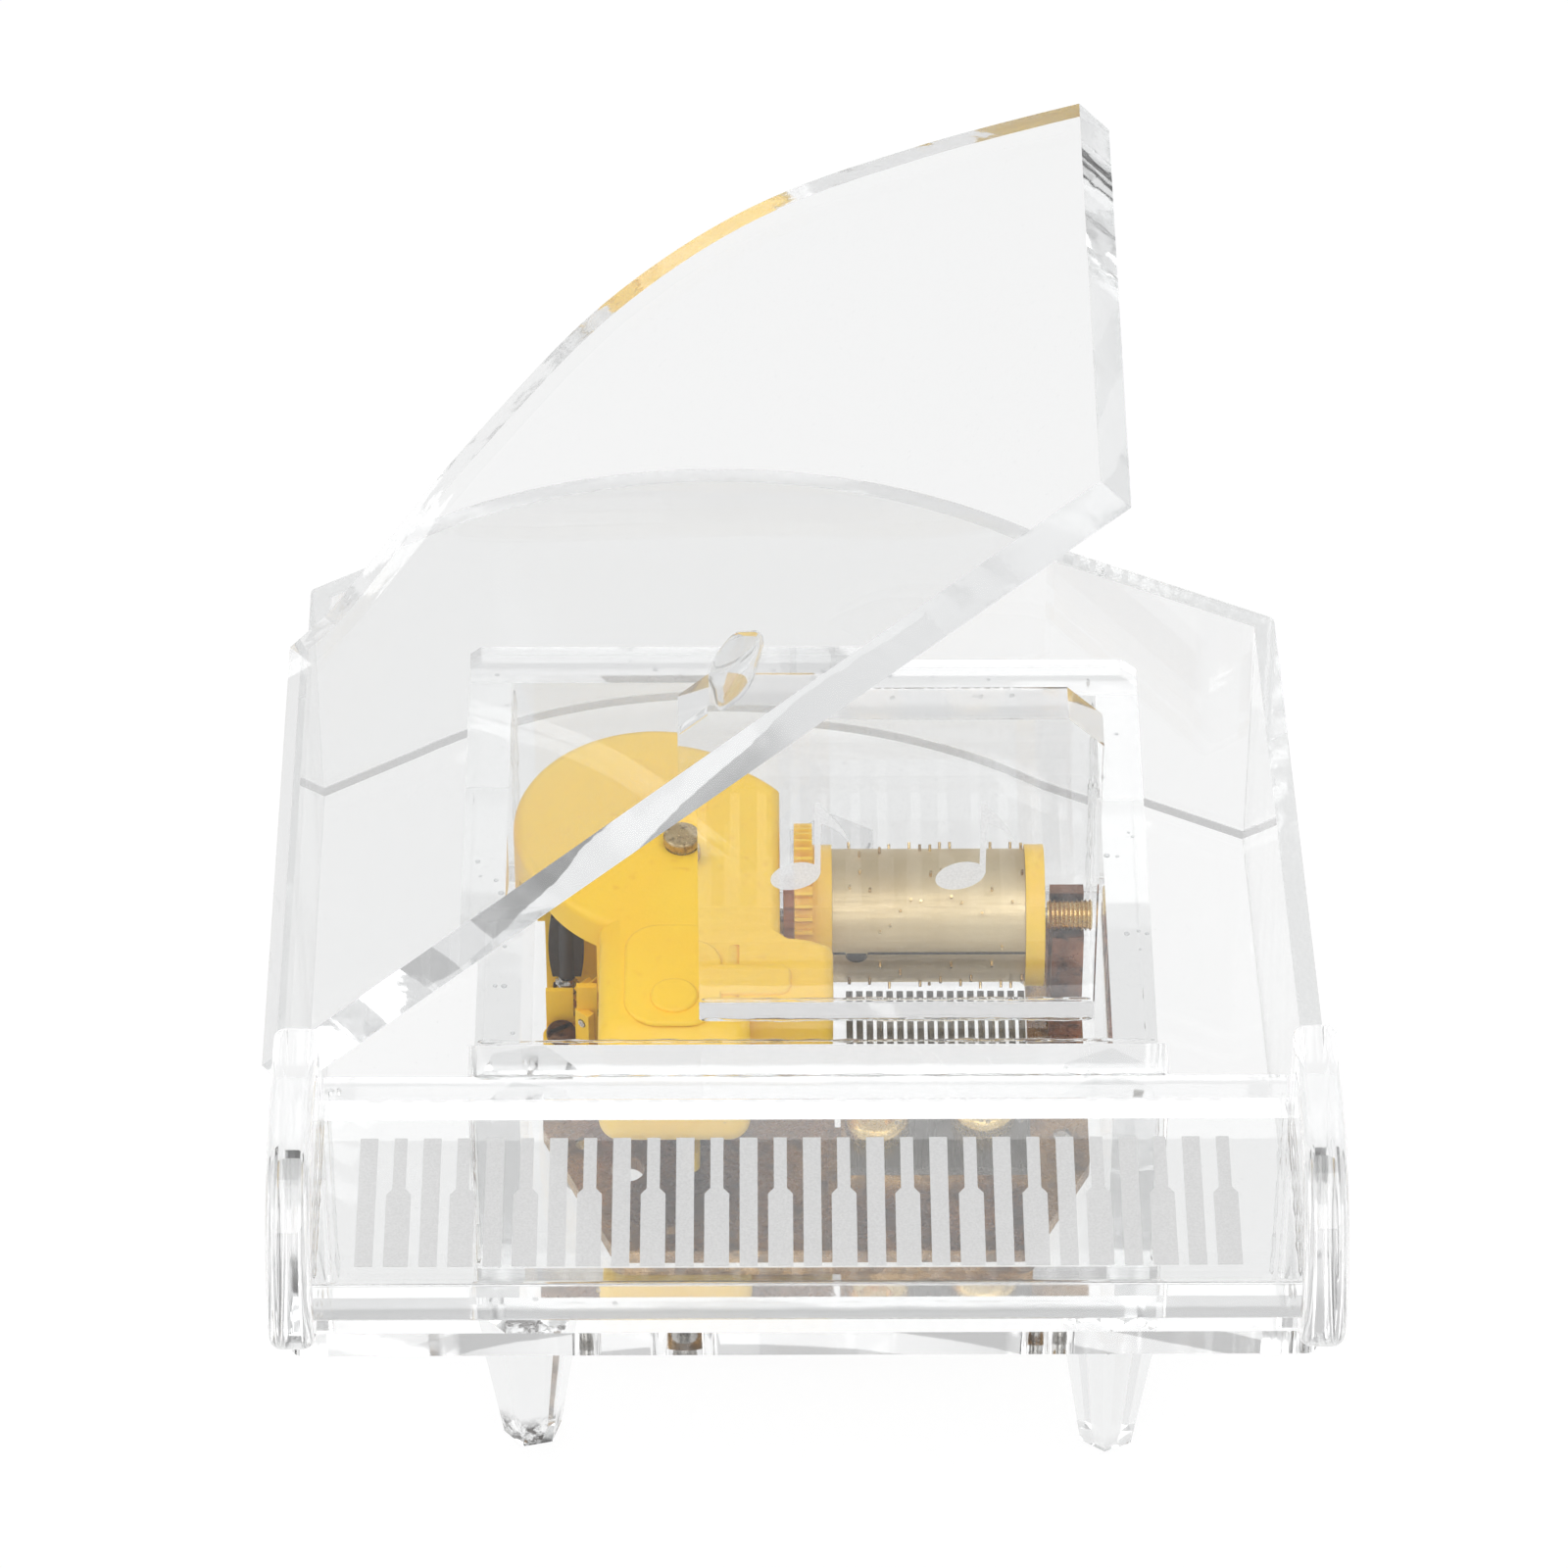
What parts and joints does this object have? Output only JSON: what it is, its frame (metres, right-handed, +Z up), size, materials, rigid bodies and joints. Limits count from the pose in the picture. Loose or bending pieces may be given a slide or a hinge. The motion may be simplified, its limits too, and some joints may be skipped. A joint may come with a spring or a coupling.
{
  "type": "wind-up music box",
  "caption": "Clear acrylic grand-piano case, lid propped open, with a wind-up pinned-cylinder musical movement, winding key below and three legs.",
  "frame": {"origin": "on the table under the middle of the bounding box, level with the leg tips", "axes": "+Z up; -Y towards the player, where the keyboard overhangs; +X to the player's right, the side the lid is raised on"},
  "size_m": [0.0962, 0.1103, 0.1191],
  "materials": {
    "clear_acrylic": "polished clear acrylic",
    "frosted_etch": "laser-frosted",
    "yellow_plastic": "satin moulded",
    "orange_plastic": "satin moulded",
    "gold_brass": "bright, lightly tarnished",
    "bedplate_finish": "mottled lacquered",
    "comb_steel": "ground steel",
    "bronzed_steel": "bronzed",
    "spring_steel": "blued",
    "steel": "plain",
    "black_rubber": "matt"
  },
  "bodies": {
    "case": {"bottom_plate": "clear_acrylic", "rim_wall": "clear_acrylic", "front_leg_left": "clear_acrylic", "front_leg_right": "clear_acrylic", "rear_leg": "clear_acrylic", "fallboard": "clear_acrylic", "key_bed": "clear_acrylic", "cheek_left": "clear_acrylic", "cheek_right": "clear_acrylic", "box_front_wall": "clear_acrylic", "box_left_wall": "clear_acrylic", "box_right_wall": "clear_acrylic", "box_back_wall": "clear_acrylic", "box_cover": "clear_acrylic", "music_rest": "clear_acrylic", "lid": "clear_acrylic", "lid_cement_bead": "clear_acrylic", "key_marks": "frosted_etch", "music_rest_ornament": "frosted_etch", "bedplate": "bedplate_finish", "comb": "comb_steel", "comb_screws": "gold_brass", "mounting_screws": "gold_brass", "cylinder_bracket": "bronzed_steel", "bracket_rivets": "steel", "pivot_bush": "gold_brass", "spring_housing": "yellow_plastic", "governor_base": "yellow_plastic", "housing_screws": "bronzed_steel", "mainspring": "spring_steel"},
    "winder": {"spring_arbor": "steel", "arbor_rivet": "gold_brass", "great_wheel": "yellow_plastic", "winding_key": "steel"},
    "cylinder": {"cylinder_arbor": "steel", "cylinder_sleeve": "gold_brass", "cylinder_pins": "gold_brass", "cylinder_gear": "yellow_plastic", "cylinder_hub": "orange_plastic", "cylinder_end_cap": "yellow_plastic"},
    "governor_gear": {"governor_wheel": "yellow_plastic", "governor_axle": "steel"},
    "governor": {"governor_worm": "yellow_plastic", "governor_fly": "black_rubber"},
    "stop": {"stop_lever": "yellow_plastic"}
  },
  "joints": [
    {"name": "winder_spin", "type": "hinge", "parent": "case", "child": "winder", "pos_m": [-0.01074, 0.00875, 0.027], "axis": [0, 0, 1], "continuous": true},
    {"name": "cylinder_spin", "type": "hinge", "parent": "case", "child": "cylinder", "pos_m": [0.01066, 0.00905, 0.0337], "axis": [1, 0, 0], "continuous": true},
    {"name": "governor_gear_spin", "type": "hinge", "parent": "case", "child": "governor_gear", "pos_m": [-0.01841, 0.00032, 0.02819], "axis": [-0.673, -0.7396, 0], "continuous": true},
    {"name": "governor_spin", "type": "hinge", "parent": "case", "child": "governor", "pos_m": [-0.02169, 0.0033, 0.029], "axis": [0, 0, 1], "continuous": true},
    {"name": "stop_swing", "type": "hinge", "parent": "case", "child": "stop", "pos_m": [-0.00984, -0.00625, 0.025], "axis": [0, 0, 1], "range_deg": [0, 14]}
  ],
  "couplings": [
    {"joint": "cylinder_spin", "follows": "winder_spin", "ratio": 1.3636},
    {"joint": "governor_gear_spin", "follows": "winder_spin", "ratio": 4},
    {"joint": "governor_spin", "follows": "winder_spin", "ratio": 60}
  ]
}
